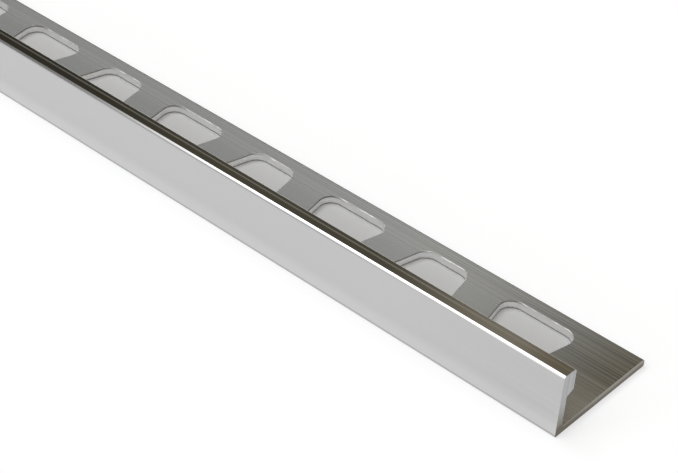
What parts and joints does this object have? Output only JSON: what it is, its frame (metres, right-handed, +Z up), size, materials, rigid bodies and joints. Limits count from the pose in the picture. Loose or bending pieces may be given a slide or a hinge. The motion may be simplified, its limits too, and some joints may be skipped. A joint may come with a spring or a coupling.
{
  "type": "tile edge trim",
  "caption": "Straight aluminium tile edge trim of L section: an upright leg with a thicker head, and a flat perforated flange that is bedded in adhesive under the tile.",
  "frame": {"origin": "middle of the trim's length and width, on the underside that lies on the floor", "axes": "+X along the trim towards the cut end nearest the camera in the picture, +Y from the finished front face back across the flange, +Z up"},
  "size_m": [1, 0.0232, 0.012],
  "materials": {
    "aluminium": "satin anodised front, bright finished edge, lengthwise drawn flange"
  },
  "bodies": {
    "root": {"edge_trim": "aluminium"}
  },
  "joints": []
}
